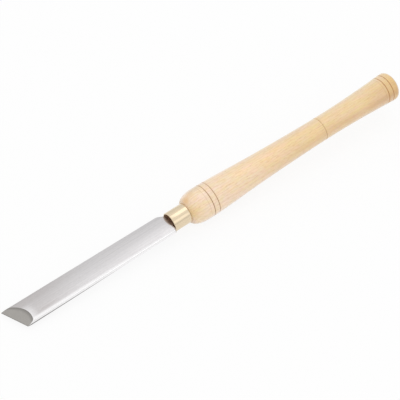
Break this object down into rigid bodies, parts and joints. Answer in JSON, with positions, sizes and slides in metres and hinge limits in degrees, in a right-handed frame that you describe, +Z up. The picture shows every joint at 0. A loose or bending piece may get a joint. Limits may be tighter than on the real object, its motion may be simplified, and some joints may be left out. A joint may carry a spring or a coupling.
{
  "type": "skew chisel",
  "caption": "Skew chisel for wood turning: an oval steel blade with a slanted double-bevelled edge, a brass ferrule and a turned pale wooden handle with grooves.",
  "frame": {"origin": "on the surface that the tool rests on, under the middle of its bounding box", "axes": "+X along the tool, from the edge towards the butt of the handle; +Y across the blade, towards the toe, which is the long corner of the edge; +Z up. The tool lies as it comes to rest, on the belly of the handle and the underside of the blade, so its own axis rises towards +X by 3.64 degrees"},
  "size_m": [0.4167, 0.0306, 0.0428],
  "materials": {
    "blade_steel": "ground and fine brushed along the blade, with a duller ground bevel",
    "ferrule_brass": "bright drawn tube",
    "handle_wood": "turned pale hardwood under clear lacquer, grain along the handle"
  },
  "bodies": {
    "root": {"blade": "blade_steel", "ferrule": "ferrule_brass", "handle": "handle_wood"}
  },
  "joints": []
}
